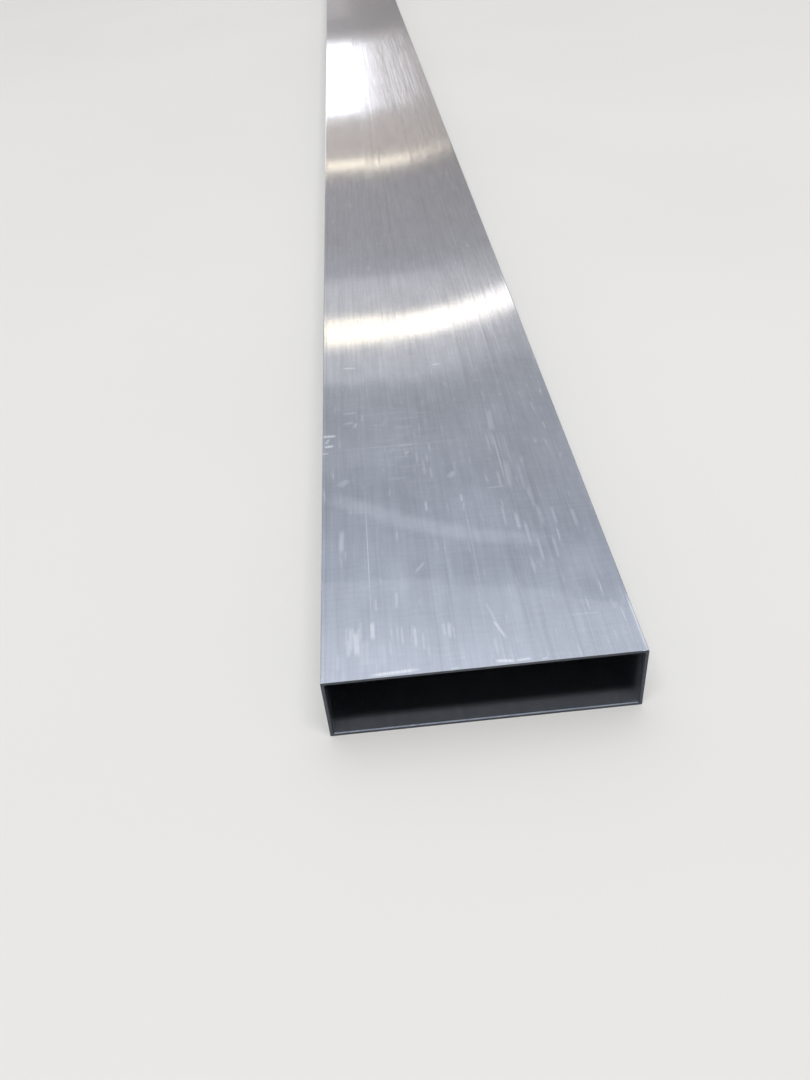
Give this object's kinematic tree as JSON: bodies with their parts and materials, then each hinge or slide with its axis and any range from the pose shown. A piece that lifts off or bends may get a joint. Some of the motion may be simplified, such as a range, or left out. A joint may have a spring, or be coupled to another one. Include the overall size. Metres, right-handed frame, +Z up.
{
  "type": "rectangular aluminium tube",
  "caption": "Rectangular hollow extruded bar with thin even walls, nearly sharp edges and square sawn ends, for frames, partitions and screens.",
  "frame": {"origin": "middle of the wide face that the tube lies on, halfway along the bar", "axes": "+Y along the bar, away from the end that the picture shows; +X across the wide face; +Z up through the section's height"},
  "size_m": [0.1016, 3, 0.0254],
  "materials": {
    "mill_finish_aluminium": "as extruded, with fine lines along the bar"
  },
  "bodies": {
    "root": {"rectangular_tube": "mill_finish_aluminium"}
  },
  "joints": []
}
